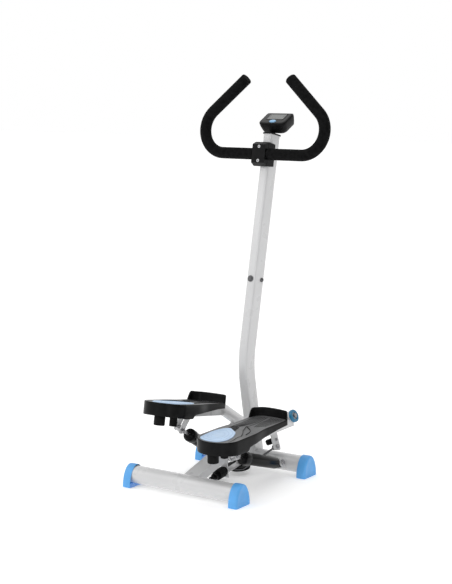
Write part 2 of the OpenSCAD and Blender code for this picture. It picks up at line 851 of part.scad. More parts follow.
module console_board() color([0.1, 0.35, 0.2]) placed() console_frame()
    translate([0, 4, -13]) linear_extrude(1.6) round_slab(60, 40, 4);

module console_button() color(sky) placed() console_frame() translate([0, -20, -6.5]) {
    rod(15, 8);
    rod(18, 2.5);
}

// ---------- Left and right sides ----------
module right_pivot_tube() color(white) right_arm_frame() pivot_tube();
module left_pivot_tube() color(white) left_arm_frame() pivot_tube();
module right_pedal_arm() color(white) right_arm_frame() pedal_arm();
module left_pedal_arm() color(white) left_arm_frame() pedal_arm();
module right_pivot_bushes() color(black) right_arm_frame() pivot_bushes();
module left_pivot_bushes() color(black) left_arm_frame() pivot_bushes();
module right_end_cap() color(teal) right_arm_frame() end_cap();
module left_end_cap() color(teal) left_arm_frame() end_cap();
module right_end_bolt() color(steel) placed() end_bolt();
module left_end_bolt() color(steel) placed() mirror([1, 0, 0]) end_bolt();
module right_ear_bolts() color(steel) right_arm_frame() ear_bolts();
module left_ear_bolts() color(steel) left_arm_frame() ear_bolts();
module right_ear_roller() color(black) right_arm_frame() ear_roller();
module left_ear_roller() color(black) left_arm_frame() ear_roller();
module right_cable_end() color(steel) right_arm_frame() cable_end(right_rest, right_leaves);
module left_cable_end() color(steel) left_arm_frame() cable_end(left_rest, left_leaves);
module right_pedal() color(black) right_arm_frame() pedal(1);
module left_pedal() color(black) left_arm_frame() pedal(-1);
module right_pedal_pad() color(pale) right_arm_frame() pedal_pad();
module left_pedal_pad() color(pale) left_arm_frame() pedal_pad();
module right_bumpers() color(black) right_arm_frame() bumpers();
module left_bumpers() color(black) left_arm_frame() bumpers();
module right_damper_cylinder() color(black) right_damper() damper_cylinder();
module left_damper_cylinder() color(black) left_damper() damper_cylinder();
module right_damper_collar() color(black) right_damper() damper_collar();
module left_damper_collar() color(black) left_damper() damper_collar();
module right_damper_rod() color(steel) right_damper() damper_rod(damper_len(right_rest));
module left_damper_rod() color(steel) left_damper() damper_rod(damper_len(left_rest));
module right_clevis_bolt() color(steel) right_damper() clevis_bolt(damper_len(right_rest));
module left_clevis_bolt() color(steel) left_damper() clevis_bolt(damper_len(left_rest));

rear_foot_tube();
front_foot_tube();
rear_foot_caps();
front_foot_caps();
main_beam();
lower_post();
upper_post();
post_joint_bolts();
post_joint_washers();
pivot_axles();
damper_lugs();
damper_lug_bolts();
pulley_bracket();
pulley_bolt();
cable_pulley();
step_cable();
adjuster_screw();
adjuster_knob();
console_mount();
clamp_rear();
clamp_front();
clamp_bolts();
handlebar_tube();
foam_grips();
console_case();
console_bezel();
lcd_window();
console_board();
console_button();
left_pivot_tube();
left_pedal_arm();
left_pivot_bushes();
left_end_cap();
left_end_bolt();
left_ear_bolts();
left_ear_roller();
left_cable_end();
left_pedal();
left_pedal_pad();
left_bumpers();
left_damper_cylinder();
left_damper_collar();
left_damper_rod();
left_clevis_bolt();
right_pivot_tube();
right_pedal_arm();
right_pivot_bushes();
right_end_cap();
right_end_bolt();
right_ear_bolts();
right_ear_roller();
right_cable_end();
right_pedal();
right_pedal_pad();
right_bumpers();
right_damper_cylinder();
right_damper_collar();
right_damper_rod();
right_clevis_bolt();
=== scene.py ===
import json
import math
import bpy
import bmesh
from mathutils import Matrix, Vector


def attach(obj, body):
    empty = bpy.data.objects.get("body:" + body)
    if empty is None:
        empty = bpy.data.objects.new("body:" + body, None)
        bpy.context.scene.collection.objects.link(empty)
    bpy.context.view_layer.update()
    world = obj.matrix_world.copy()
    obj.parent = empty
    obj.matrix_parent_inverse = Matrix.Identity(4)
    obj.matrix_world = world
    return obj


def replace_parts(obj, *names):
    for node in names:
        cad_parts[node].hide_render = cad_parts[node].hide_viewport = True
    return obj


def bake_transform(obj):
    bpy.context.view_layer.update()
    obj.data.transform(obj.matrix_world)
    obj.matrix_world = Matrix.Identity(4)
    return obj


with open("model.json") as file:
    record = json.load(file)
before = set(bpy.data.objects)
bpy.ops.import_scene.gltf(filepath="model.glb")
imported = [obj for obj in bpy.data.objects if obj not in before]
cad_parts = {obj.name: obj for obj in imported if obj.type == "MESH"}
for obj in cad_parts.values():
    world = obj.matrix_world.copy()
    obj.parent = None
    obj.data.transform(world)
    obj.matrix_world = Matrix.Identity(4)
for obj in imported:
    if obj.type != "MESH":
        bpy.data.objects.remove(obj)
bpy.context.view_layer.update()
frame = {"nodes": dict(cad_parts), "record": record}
nodes = frame["nodes"]

# Sizes shared with the CAD, in millimetres and degrees, measured from a zero half way
# between the foot tubes; shift_y moves them into the row's frame.
shift_y = -55.76
foot_y = 190.0
pivot = Vector((0.0, 185.0, 119.0))
slope = math.radians(25)
pivot_axis = Vector((math.cos(slope), 0, math.sin(slope)))
rest = {1: 2.73, -1: -10.75}
side_name = {1: "right", -1: "left"}
ped_origin, ped_pitch, ped_yaw = Vector((122.5, 100.9, 203.0)), -1.15, -2.2
lug, eye = Vector((121.0, 146.0, 40.0)), Vector((107.5, -98.0, 127.0))


def turn(axis, degrees):
    return Matrix.Rotation(math.radians(degrees), 4, axis)


ROW = Matrix.Scale(0.001, 4) @ Matrix.Translation((0, shift_y, 0))
MIRROR = Matrix.Diagonal((-1, 1, 1, 1))


def swing(degrees):
    return (Matrix.Translation(pivot) @ Matrix.Rotation(math.radians(degrees), 4, pivot_axis)
            @ Matrix.Translation(-pivot))


def side_matrix(side):
    return ROW @ MIRROR if side < 0 else ROW


def arm_matrix(side):
    return side_matrix(side) @ swing(rest[side])


def pedal_matrix(side):
    return (arm_matrix(side) @ Matrix.Translation(ped_origin) @ turn("Z", ped_yaw)
            @ turn("X", ped_pitch))


def on_pivot(along, lean=0.0):
    return (Matrix.Translation(pivot) @ turn("Y", 65) @ turn("Z", -lean)
            @ Matrix.Translation((0, 0, along)))


def swung(p, degrees):
    return swing(degrees) @ p


hinge = -((swung(eye, -18) - lug).cross(swung(eye, 10) - lug)).normalized()


def frame_of(origin, x, z):
    y = z.cross(x)
    m = Matrix((x, y, z)).transposed().to_4x4()
    m.translation = origin
    return m


def damper_matrix(side):
    z = (swung(eye, rest[side]) - lug).normalized()
    x = (hinge - z * hinge.dot(z)).normalized()
    return side_matrix(side) @ frame_of(lug, x, z)


pulley_matrix = ROW @ Matrix.Translation((0, 101, 24)) @ turn("X", 7)
bar_matrix = ROW @ Matrix.Translation((0, 225, 1000)) @ turn("X", -9.6)
console_matrix = ROW @ Matrix.Translation((0, 308, 1109)) @ turn("X", 27)


# ---------------------------------------------------------------- materials
def material(name, color, rough=0.5, metal=0.0, vary=0.12, scale=60.0, rough_vary=0.12,
             bump=0.0, bump_scale=400.0, kind="noise", coat=0.0, stretch=(1, 1, 1),
             speck=None, specular=0.5):
    m = bpy.data.materials.new(name)
    m.use_nodes = True
    nt = m.node_tree
    p = nt.nodes["Principled BSDF"]
    p.inputs["Metallic"].default_value = metal
    p.inputs["Coat Weight"].default_value = coat
    p.inputs["Coat Roughness"].default_value = 0.12
    p.inputs["Specular IOR Level"].default_value = specular
    coords = nt.nodes.new("ShaderNodeTexCoord")
    mapping = nt.nodes.new("ShaderNodeMapping")
    mapping.inputs["Scale"].default_value = stretch
    nt.links.new(coords.outputs["Object"], mapping.inputs["Vector"])

    def tex(s, detail=4.0):
        t = nt.nodes.new("ShaderNodeTexNoise")
        t.inputs["Scale"].default_value = s
        t.inputs["Detail"].default_value = detail
        nt.links.new(mapping.outputs[0], t.inputs["Vector"])
        return t

    broad = tex(scale)
    ramp = nt.nodes.new("ShaderNodeValToRGB")
    dark = [max(0.0, c * (1 - vary)) for c in color]
    light = [min(1.0, c * (1 + vary) + 0.004) for c in color]
    ramp.color_ramp.elements[0].position = 0.3
    ramp.color_ramp.elements[1].position = 0.7
    ramp.color_ramp.elements[0].color = (*dark, 1)
    ramp.color_ramp.elements[1].color = (*light, 1)
    nt.links.new(broad.outputs["Fac"], ramp.inputs[0])
    out = ramp.outputs[0]
    if speck:
        fine = tex(speck[1], 2.0)
        step = nt.nodes.new("ShaderNodeValToRGB")
        step.color_ramp.elements[0].position = 0.62
        step.color_ramp.elements[1].position = 0.75
        nt.links.new(fine.outputs["Fac"], step.inputs[0])
        mix = nt.nodes.new("ShaderNodeMix")
        mix.data_type = "RGBA"
        mix.inputs[7].default_value = (*speck[0], 1)
        nt.links.new(step.outputs[0], mix.inputs[0])
        nt.links.new(out, mix.inputs[6])
        out = mix.outputs[2]
    nt.links.new(out, p.inputs["Base Color"])
    spread = nt.nodes.new("ShaderNodeMapRange")
    spread.inputs["To Min"].default_value = max(0.03, rough - rough_vary / 2)
    spread.inputs["To Max"].default_value = min(1.0, rough + rough_vary / 2)
    smear = tex(scale * 2.3, 6.0)
    nt.links.new(smear.outputs["Fac"], spread.inputs["Value"])
    nt.links.new(spread.outputs[0], p.inputs["Roughness"])
    if bump:
        b = nt.nodes.new("ShaderNodeBump")
        b.inputs["Strength"].default_value = bump
        b.inputs["Distance"].default_value = 0.0004
        if kind == "cells":
            t = nt.nodes.new("ShaderNodeTexVoronoi")
            t.inputs["Scale"].default_value = bump_scale
            nt.links.new(mapping.outputs[0], t.inputs["Vector"])
            nt.links.new(t.outputs["Distance"], b.inputs["Height"])
        else:
            nt.links.new(tex(bump_scale, 3.0).outputs["Fac"], b.inputs["Height"])
        nt.links.new(b.outputs[0], p.inputs["Normal"])
    return m


white = material("white_coat", (0.61, 0.61, 0.615), 0.28, vary=0.015, scale=9, rough_vary=0.06,
                 bump=0.03, bump_scale=900, coat=1.0)
blue = material("blue_cap", (0.10, 0.385, 0.80), 0.40, vary=0.05, scale=30, bump=0.10,
                bump_scale=1300)
teal = material("teal_cap", (0.012, 0.17, 0.32), 0.25, vary=0.08, scale=60, bump=0.05,
                bump_scale=900, coat=0.3)
steel = material("bright_steel", (0.42, 0.42, 0.43), 0.26, metal=1.0, vary=0.06, scale=90,
                 rough_vary=0.14, bump=0.05, bump_scale=1500)
bolt_steel = material("bolt_steel", (0.13, 0.13, 0.135), 0.34, metal=1.0, vary=0.15, scale=90,
                      rough_vary=0.14)
tube_steel = material("bar_steel", (0.78, 0.78, 0.79), 0.16, metal=1.0, vary=0.04, scale=50,
                      rough_vary=0.1)
wire = material("cable_wire", (0.16, 0.16, 0.165), 0.38, metal=1.0, vary=0.25, scale=500,
                bump=0.5, bump_scale=900)
plastic = material("black_plastic", (0.0035, 0.0035, 0.0038), 0.40, vary=0.25, scale=50,
                   bump=0.12, bump_scale=1500, specular=0.10)
pedal_black = material("pedal_black", (0.0028, 0.0028, 0.003), 0.32, vary=0.25, scale=35,
                       bump=0.10, bump_scale=1600, rough_vary=0.14, specular=0.10)
# the pedal's top is the same black plastic as its sides; this mid grey is a painted sheen that makes the deck
# lighter than the black shell
deck_painted_sheen = material("deck_painted_sheen", (0.115, 0.116, 0.118), 0.36, vary=0.16, scale=70,
                     bump=0.35, bump_scale=1100, rough_vary=0.14, specular=0.35)
rubber = material("bumper_rubber", (0.005, 0.005, 0.005), 0.55, vary=0.2, scale=70, bump=0.2,
                  bump_scale=1000, specular=0.08)
pad_blue = material("pad_blue", (0.50, 0.66, 0.86), 0.42, vary=0.06, scale=30, bump=0.12,
                    bump_scale=1100)
pad_line = material("pad_line", (0.36, 0.52, 0.74), 0.45, vary=0.06, scale=60)
gloss_black = material("gloss_black", (0.0025, 0.0025, 0.0027), 0.22, vary=0.2, scale=40,
                       rough_vary=0.08, bump=0.04, bump_scale=700, specular=0.16)
foam = material("grip_foam", (0.0035, 0.0035, 0.0037), 0.72, vary=0.2, scale=90, bump=0.4,
                bump_scale=1500, kind="cells", rough_vary=0.1, specular=0.05)
bezel_grey = material("bezel_grey", (0.012, 0.012, 0.0125), 0.34, vary=0.2, scale=70,
                      bump=0.15, bump_scale=1500, specular=0.3)
display = material("display", (0.085, 0.090, 0.088), 0.16, vary=0.06, scale=40, coat=0.5)
display_lcd = material("display_lcd", (0.13, 0.138, 0.132), 0.2, vary=0.05, scale=60, coat=0.5)
board = material("circuit_board", (0.02, 0.12, 0.05), 0.4, vary=0.2, scale=200)
button = material("button_blue", (0.22, 0.46, 0.72), 0.26, vary=0.05, scale=80, coat=0.5)

slot_material = {
    "white_paint": white, "blue_plastic": blue, "teal_plastic": teal, "bright_steel": steel,
    "cable_wire": wire, "black_plastic": plastic, "pedal_plastic": pedal_black,
    "bumper_rubber": rubber, "pedal_pad": pad_blue, "black_metal": gloss_black,
    "grip_foam": foam, "console_bezel": bezel_grey, "display_glass": display,
    "circuit_board": board, "button_blue": button,
}
slot_of = {s["node"]: s["material_slot"] for s in frame["record"]["subparts"]}
for name, obj in nodes.items():
    m = slot_material[slot_of[name]]
    if name == "handlebar_tube":
        m = tube_steel
    if name in ("post_joint_bolts", "post_joint_washers"):
        m = bolt_steel
    for s in obj.material_slots:
        s.material = m


# ---------------------------------------------------------------- mesh helpers
def make(name, verts, faces, mat, body, matrix=ROW, sharp=35.0, mats=None, pick=None):
    """A mesh piece from points in millimetres in the given frame."""
    if matrix.determinant() < 0:
        faces = [tuple(reversed(f)) for f in faces]
    mesh = bpy.data.meshes.new(name)
    mesh.from_pydata([matrix @ Vector(v) for v in verts], [], faces)
    mesh.update()
    bm = bmesh.new()
    bm.from_mesh(mesh)
    bmesh.ops.remove_doubles(bm, verts=bm.verts, dist=1e-6)
    bmesh.ops.recalc_face_normals(bm, faces=bm.faces)
    bm.to_mesh(mesh)
    bm.free()
    obj = bpy.data.objects.new(name, mesh)
    bpy.context.collection.objects.link(obj)
    for m in (mats or [mat]):
        mesh.materials.append(m)
    for f in mesh.polygons:
        f.use_smooth = True
    if pick:
        for f in mesh.polygons:
            f.material_index = pick(f)
    mesh.set_sharp_from_angle(angle=math.radians(sharp))
    if body:
        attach(obj, body)
    return obj


def lathe(name, profile, matrix, mat, body, segs=72, sharp=30.0):
    """Closed (radius, height) profile turned about local Z."""
    verts, faces = [], []
    n = len(profile)
    for i in range(segs):
        a = 2 * math.pi * i / segs
        for r, z in profile:
            verts.append((r * math.cos(a), r * math.sin(a), z))
    for i in range(segs):
        j = (i + 1) % segs
        for k in range(n):
            l = (k + 1) % n
            if profile[k][0] < 1e-6 and profile[l][0] < 1e-6:
                continue
            faces.append((i * n + k, j * n + k, j * n + l, i * n + l))
    return make(name, verts, faces, mat, body, matrix, sharp)


def rounded(points, r, steps=4):
    """Rounds the corners of a closed 2D polygon."""
    out = []
    n = len(points)
    for i in range(n):
        p, a, b = Vector(points[i]), Vector(points[i - 1]), Vector(points[(i + 1) % n])
        u, v = (a - p), (b - p)
        rr = r[i] if isinstance(r, (list, tuple)) else r
        d = min(rr, u.length * 0.45, v.length * 0.45)
        if d < 1e-4:
            out.append(tuple(p))
            continue
        s, e = p + u.normalized() * d, p + v.normalized() * d
        for k in range(steps + 1):
            t = k / steps
            out.append(tuple((1 - t) ** 2 * s + 2 * t * (1 - t) * p + t * t * e))
    return out


def solid(name, outline, z0, z1, bevel, matrix, mat, body, segs=3, sharp=35.0):
    """An extruded outline with rounded rims."""
    bm = bmesh.new()
    low = [bm.verts.new((x, y, z0)) for x, y in outline]
    top = [bm.verts.new((x, y, z1)) for x, y in outline]
    n = len(outline)
    bm.faces.new(low[::-1])
    bm.faces.new(top)
    for i in range(n):
        bm.faces.new((low[i], low[(i + 1) % n], top[(i + 1) % n], top[i]))
    if bevel:
        rims = [e for e in bm.edges if abs(e.verts[0].co.z - e.verts[1].co.z) < 1e-6]
        bmesh.ops.bevel(bm, geom=rims, offset=bevel, segments=segs, profile=0.5,
                        affect="EDGES", clamp_overlap=True)
    bm.verts.ensure_lookup_table()
    verts = [v.co.copy() for v in bm.verts]
    faces = [tuple(v.index for v in f.verts) for f in bm.faces]
    bm.verts.index_update()
    faces = [tuple(v.index for v in f.verts) for f in bm.faces]
    bm.free()
    return make(name, verts, faces, mat, body, matrix, sharp)


def block(name, lo, hi, bevel, matrix, mat, body):
    out = [(lo[0], lo[1]), (hi[0], lo[1]), (hi[0], hi[1]), (lo[0], hi[1])]
    return solid(name, rounded(out, bevel, 3), lo[2], hi[2], bevel, matrix, mat, body)


def sweep(name, path, radius, matrix, mat, body, sides=24, caps=True, ends=None,
          height=None, up=None):
    """A round bar along a path; ends gives (distance, scale) steps of the rounded tips."""
    pts = [Vector(p) for p in path]
    tangents = []
    for i in range(len(pts)):
        a, b = pts[max(0, i - 1)], pts[min(len(pts) - 1, i + 1)]
        tangents.append((b - a).normalized())
    ref = Vector(up) if up else Vector((0, 0, 1))
    if abs(ref.dot(tangents[0])) > 0.95:
        ref = Vector((1, 0, 0))
    rings = []
    for p, t in zip(pts, tangents):
        n = (ref - t * ref.dot(t)).normalized()
        if not up:
            ref = n
        rings.append((p, t, n, 1.0))
    if ends:
        first, last = rings[0], rings[-1]
        head = [(first[0] - first[1] * d, first[1], first[2], s) for d, s in ends]
        tail = [(last[0] + last[1] * d, last[1], last[2], s) for d, s in ends]
        rings = head[::-1] + rings + tail
    verts, faces = [], []
    h = height or radius
    for p, t, n, s in rings:
        b = t.cross(n)
        for k in range(sides):
            a = 2 * math.pi * k / sides
            verts.append(p + (b * math.cos(a) * radius + n * math.sin(a) * h) * s)
    for i in range(len(rings) - 1):
        for k in range(sides):
            l = (k + 1) % sides
            faces.append((i * sides + k, i * sides + l, (i + 1) * sides + l, (i + 1) * sides + k))
    if caps:
        faces.append(tuple(range(sides)))
        faces.append(tuple(range(len(rings) * sides - sides, len(rings) * sides)))
    return make(name, verts, faces, mat, body, matrix)


def join(name, objs):
    """Merges made pieces that share one body into one object."""
    bm = bmesh.new()
    mats = []
    for o in objs:
        start = len(bm.faces)
        offset = len(mats)
        mats += list(o.data.materials)
        bm.from_mesh(o.data)
        bm.faces.ensure_lookup_table()
        for f in bm.faces[start:]:
            f.material_index += offset
    first = objs[0]
    # clearing the slots resets the faces' indices, so the mesh is written after it
    first.data.materials.clear()
    for m in mats:
        first.data.materials.append(m)
    bm.to_mesh(first.data)
    bm.free()
    for f in first.data.polygons:
        f.use_smooth = True
    first.data.set_sharp_from_angle(angle=math.radians(35))
    for o in objs[1:]:
        bpy.data.objects.remove(o)
    first.name = name
    return first


# ---------------------------------------------------------------- pedals
ped_l, toe_w, heel_w, bulge = 340.0, 60.5, 69.5, 8.0


def half_width(u):
    if u < 114:
        return toe_w
    if u < 202:
        t = (u - 114) / 88
        return toe_w + (heel_w - toe_w) * t * t * (3 - 2 * t)
    return heel_w


def edge(corner):
    """(q, u) from the toe's middle to the heel's middle along one side."""
    pts = []
    x = 0.0
    while x < toe_w - corner - 1:
        pts.append((x, -bulge * (1 - (x / toe_w) ** 2)))
        x += 3.0
    top = bulge * (1 - (1 - corner / toe_w) ** 2)
    for k in range(11):
        a = math.radians(9 * k)
        pts.append((toe_w - corner + corner * math.sin(a), -(top - corner + corner * math.cos(a))))
    u = pts[-1][1] + 5
    while u < ped_l - 58 - 2:
        pts.append((half_width(u), u))
        u += 5
    for k in range(25):
        a = math.radians(3.6 * k)
        pts.append((heel_w * math.cos(a), ped_l - 58 + 58 * math.sin(a)))
    return pts


def outline(side):
    """Closed ring; the guarded, rounder toe corner is on the machine's -X side."""
    outer, inner = edge(13.0 if side > 0 else 40.0), edge(40.0 if side > 0 else 13.0)
    return outer + [(0.0, ped_l)] + [(-q, u) for q, u in inner[:0:-1]]


def ring_normals(ring):
    out = []
    n = len(ring)
    for i in range(n):
        a, b = Vector(ring[i - 1]), Vector(ring[(i + 1) % n])
        t = (b - a).normalized()
        out.append(Vector((-t.y, t.x)))
    s = sum((Vector(p) - Vector((0, 170))).dot(m) for p, m in zip(ring, out))
    return [m if s > 0 else -m for m in out]


def interp(x, table):
    for (a, p), (b, q) in zip(table, table[1:]):
        if x <= b:
            t = max(0.0, (x - a) / (b - a))
            return p + (q - p) * t
    return table[-1][1]


skirt_depth = [(-10, 16), (50, 18.5), (120, 25.5), (205, 31), (221, 34), (227, 42.5), (232, 44),
               (275, 44), (300, 42), (345, 39.5)]


def pedal(side):
    ring = outline(side)
    norms = ring_normals(ring)
    n = len(ring)
    body, M = side_name[side] + "_arm", pedal_matrix(side)
    rows = []
    # deck rim, fillet, wall, lip, inside of the wall and underside of the deck
    steps = [(-2.6, 0.0), (-1.6, -0.15), (-0.8, -0.55), (-0.25, -1.2), (0.0, -2.2)]
    for off, z in steps:
        rows.append([(q + m.x * off, u + m.y * off, z) for (q, u), m in zip(ring, norms)])
    for part in (0.25, 0.5, 0.75, 0.94, 1.0):
        row = []
        for (q, u), m in zip(ring, norms):
            d = interp(u, skirt_depth)
            off = -0.9 if part == 1.0 else 0.0
            row.append((q + m.x * off, u + m.y * off, -2.2 - (d - 2.2) * part))
        rows.append(row)
    for part, off in ((1.0, -2.2), (0.95, -3.0), (0.0, -3.0)):
        row = []
        for (q, u), m in zip(ring, norms):
            d = interp(u, skirt_depth)
            row.append((q + m.x * off, u + m.y * off, -4.0 - (d - 4.0) * part))
        rows.append(row)
    verts = [(q, -u, z) for row in rows for q, u, z in row]
    faces = []
    for r in range(len(rows) - 1):
        for i in range(n):
            j = (i + 1) % n
            faces.append((r * n + i, r * n + j, (r + 1) * n + j, (r + 1) * n + i))
    faces.append(tuple(range((len(rows) - 1) * n, len(rows) * n)))
    shell = make("pedal_shell", verts, faces, pedal_black, body, M, 40)
    # deck: rings that shrink to the middle line, gently dished behind the raised rim
    verts, faces = [], []
    depth = 26
    for k in range(depth + 1):
        t = k / depth
        for (q, u), m in zip(ring, norms):
            q0, u0 = q - m.x * 2.6, u - m.y * 2.6
            c = min(max(u0, 38.0), 285.0)
            q1, u1 = q0 * (1 - t), u0 + (c - u0) * t
            d = 0.0 if t == 0 else (0.5 if t < 0.05 else 0.55 + 0.5 * math.sin(t * math.pi / 2))
            verts.append((q1, -u1, -d))
    for k in range(depth):
        for i in range(n):
            j = (i + 1) % n
            faces.append((k * n + i, (k + 1) * n + i, (k + 1) * n + j, k * n + j))
    # the deck takes the grey painted-sheen material rather than the pedal's black
    deck = make("pedal_deck", verts, faces, deck_painted_sheen, body, M, 40)
    # guard: a wall round the toe, along the -X edge, with a rolled top and a sloped rear end
    g = -1 if side > 0 else 1
    idx = [i for i, ((q, u), m) in enumerate(zip(ring, norms))
           if (q * g > 30 and u < 43.5) or u < 13]
    idxset = set(idx)
    start = next(i for i in idx if (i - 1) % n not in idxset)
    order = []
    i = start
    while i % n in idxset:
        order.append(i % n)
        i += 1
    arc = [(ring[i], norms[i]) for i in order]
    def top_at(q, u):
        if q * g > 30 and u > 14:
            return interp(u, [(14, 27.0), (22, 27.0), (27, 26.2), (32, 22.0), (37, 12.0),
                              (43.5, -2)])
        if u > 3 and q * g < 0:
            return interp(u, [(3, 26.0), (13, 24.0)])
        return 27.0 - 0.8 * (abs(q) / 60) ** 2
    sec = [(0.0, 0.0), (0.0, 0.6), (-0.25, 0.86), (-1.0, 0.96), (-2.3, 1.0), (-3.6, 0.96),
           (-4.4, 0.86), (-4.8, 0.6), (-5.6, 0.15), (-7.2, 0.0)]
    verts, faces = [], []
    for (q, u), m in arc:
        top = top_at(q, u)
        for off, f in sec:
            z = -3.0 + (top + 3.0) * f
            verts.append((q + m.x * off, -(u + m.y * off), z))
    k = len(sec)
    for i in range(len(arc) - 1):
        for s in range(k - 1):
            faces.append((i * k + s, i * k + s + 1, (i + 1) * k + s + 1, (i + 1) * k + s))
    for i in range(len(arc) - 1):
        faces.append((i * k, (i + 1) * k, (i + 1) * k + k - 1, i * k + k - 1))
    faces.append(tuple(range(k)))
    faces.append(tuple(range((len(arc) - 1) * k, len(arc) * k)))
    guard = make("pedal_guard", verts, faces, pedal_black, body, M, 50)
    bits = [shell, deck, guard]
    for u in (30, 90, 150, 205, 250):
        bits.append(block("rib", (3 - 30, -u, -19), (3 + 30, -u + 4, -3.9), 0.6, M, pedal_black,
                          body))
    bits.append(lathe("post", [(5, -40), (15, -40), (15, -4), (5, -4)],
                      M @ Matrix.Translation((0, -314, 0)), pedal_black, body))
    obj = join(side_name[side] + "_pedal_moulding", bits)
    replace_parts(obj, side_name[side] + "_pedal")
    return obj


def deck_relief(side):
    """Grip ribs, chevron, dotted lines and contour lines that stand on the deck."""
    body, M = side_name[side] + "_arm", pedal_matrix(side)
    raised, dots = [], []

    def strip(path, w, h, mat=pedal_black):
        raised.append(sweep("strip", [(q, -u, -0.9) for u, q in path], w / 2, M, mat, body,
                            sides=8, height=h, up=(0, 0, 1),
                            ends=[(w * 0.25, 0.8), (w * 0.45, 0.3)]))

    def smooth(points, steps=7):
        out = []
        p = [Vector(a) for a in points]
        p = [2 * p[0] - p[1]] + p + [2 * p[-1] - p[-2]]
        for i in range(1, len(p) - 2):
            for s in range(steps):
                t = s / steps
                out.append(tuple(0.5 * ((2 * p[i]) + (p[i + 1] - p[i - 1]) * t
                           + (2 * p[i - 1] - 5 * p[i] + 4 * p[i + 1] - p[i + 2]) * t * t
                           + (3 * p[i] - p[i - 1] - 3 * p[i + 1] + p[i + 2]) * t ** 3)))
        out.append(tuple(p[-2]))
        return out

    def beads(path, pitch, r, h):
        left = 0.0
        for (a, b) in zip(path, path[1:]):
            a, b = Vector(a), Vector(b)
            length = (b - a).length
            while left < length:
                dots.append((a + (b - a) * (left / length), r, h))
                left += pitch
            left -= length

    # chevron round the middle of the sole
    strip(smooth([(232, 45), (206, 31), (182, 16), (160, 6), (138, -2), (150, 14), (168, 33),
                  (190, 43), (214, 49)]), 3.6, 2.0)
    beads(smooth([(306, 52), (285, 51), (263, 46), (246, 44), (230, 45)]), 6.2, 1.7, 1.5)
    beads(smooth([(137, -2), (110, 2), (79, 1), (46, -4), (13, -9)]), 5.6, 1.5, 1.4)
    beads(smooth([(168, 33), (150, 14), (137, -2)]), 5.6, 1.7, 2.1)
    # contour lines that spread from the toe over the outer half
    for k in range(6):
        s = 8.0 * k
        strip(smooth([(12, 6 + s), (40, 10 + s * 0.92), (70, 9 + s * 0.9), (100, 13 + s * 0.78),
                      (128 - 0.5 * s, 20 + s * 0.62)]), 1.9, 1.0)
    for k in range(5):
        s = 8.5 * k
        strip(smooth([(14, -18 - s), (44, -14 - s * 0.9), (80, -9 - s * 0.95),
                      (118, -14 - s * 0.8), (146 + s * 0.7, -22 - s * 0.62)]), 1.9, 1.0)
    # fine ribs between the pad and the chevron
    for k in range(13):
        u = 150 + 5.2 * k
        q0 = -4 + 0.30 * (u - 150)
        strip([(u, -44 + 0.1 * k), (u + 6, q0 - 12)], 1.7, 0.9)
    verts, faces = [], []
    for p, r, h in dots:
        base = len(verts)
        for ring, (f, z) in enumerate(((1.0, 0.0), (0.8, 0.65), (0.4, 0.95))):
            for k in range(10):
                a = 2 * math.pi * k / 10
                verts.append((p.y + r * f * math.cos(a), -(p.x + r * f * math.sin(a)),
                              -1.0 + h * z))
        verts.append((p.y, -p.x, -1.0 + h))
        for ring in range(2):
            for k in range(10):
                l = (k + 1) % 10
                faces.append((base + ring * 10 + k, base + ring * 10 + l,
                              base + ring * 10 + 10 + l, base + ring * 10 + 10 + k))
        for k in range(10):
            faces.append((base + 20 + k, base + 20 + (k + 1) % 10, base + 30))
    raised.append(make("beads", verts, faces, pedal_black, body, M))
    return join(side_name[side] + "_pedal_relief", raised)


pad_ring = [(178, -32), (190, -47), (227, -57), (270, -55), (311, -51), (326, -30), (330, -3),
            (326, 26), (298, 38), (258, 33), (213, 12)]


def pad(side):
    body, M = side_name[side] + "_arm", pedal_matrix(side)
    ring = rounded([(q, -u) for u, q in pad_ring], 14, 5)
    n = len(ring)
    cx = sum(p[0] for p in ring) / n
    cy = sum(p[1] for p in ring) / n
    verts, faces = [], []
    levels = [(1.0, -1.2), (1.0, 0.6), (0.992, 1.2), (0.975, 1.45)]
    levels += [(1 - 0.08 * k, 1.5 + 0.35 * math.sin(k / 12 * math.pi / 2)) for k in range(1, 13)]
    for f, z in levels:
        for x, y in ring:
            verts.append((cx + (x - cx) * f, cy + (y - cy) * f, z))
    for r in range(len(levels) - 1):
        for i in range(n):
            j = (i + 1) % n
            faces.append((r * n + i, r * n + j, (r + 1) * n + j, (r + 1) * n + i))
    faces.append(tuple(range((len(levels) - 1) * n, len(levels) * n)))
    faces.append(tuple(range(n)))
    skin = make("pad_skin", verts, faces, pad_blue, body, M, 40)
    lines = [skin]
    for f in (0.84, 0.62, 0.4):
        path = [(cx + (x - cx) * f, cy + (y - cy) * f, 1.62) for x, y in ring]
        lines.append(sweep("line", path + path[:1], 0.7, M, pad_line, body,
                           sides=6, height=0.5, up=(0, 0, 1), caps=False))
    obj = join(side_name[side] + "_pad_moulding", lines)
    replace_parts(obj, side_name[side] + "_pedal_pad")


for side in (1, -1):
    pedal(side)
    deck_relief(side)
    pad(side)
    body, M = side_name[side] + "_arm", pedal_matrix(side)
    big = [(0.0, -69), (14.5, -69), (16.3, -68.4), (17, -66.5), (17, -44), (16.4, -40), (5, -40),
           (5, -14), (0.0, -14)]
    small = [(0.0, -73), (10, -73), (11.5, -72.3), (12, -70.8), (12, -45), (0.0, -45)]
    a = lathe("a", big, M @ Matrix.Translation((0, -314, 0)), rubber, body)
    b = lathe("b", small, M @ Matrix.Translation((eye.x - 122.5 + 6, -244, 0)), rubber, body)
    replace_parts(join(side_name[side] + "_bumper_pair", [a, b]), side_name[side] + "_bumpers")

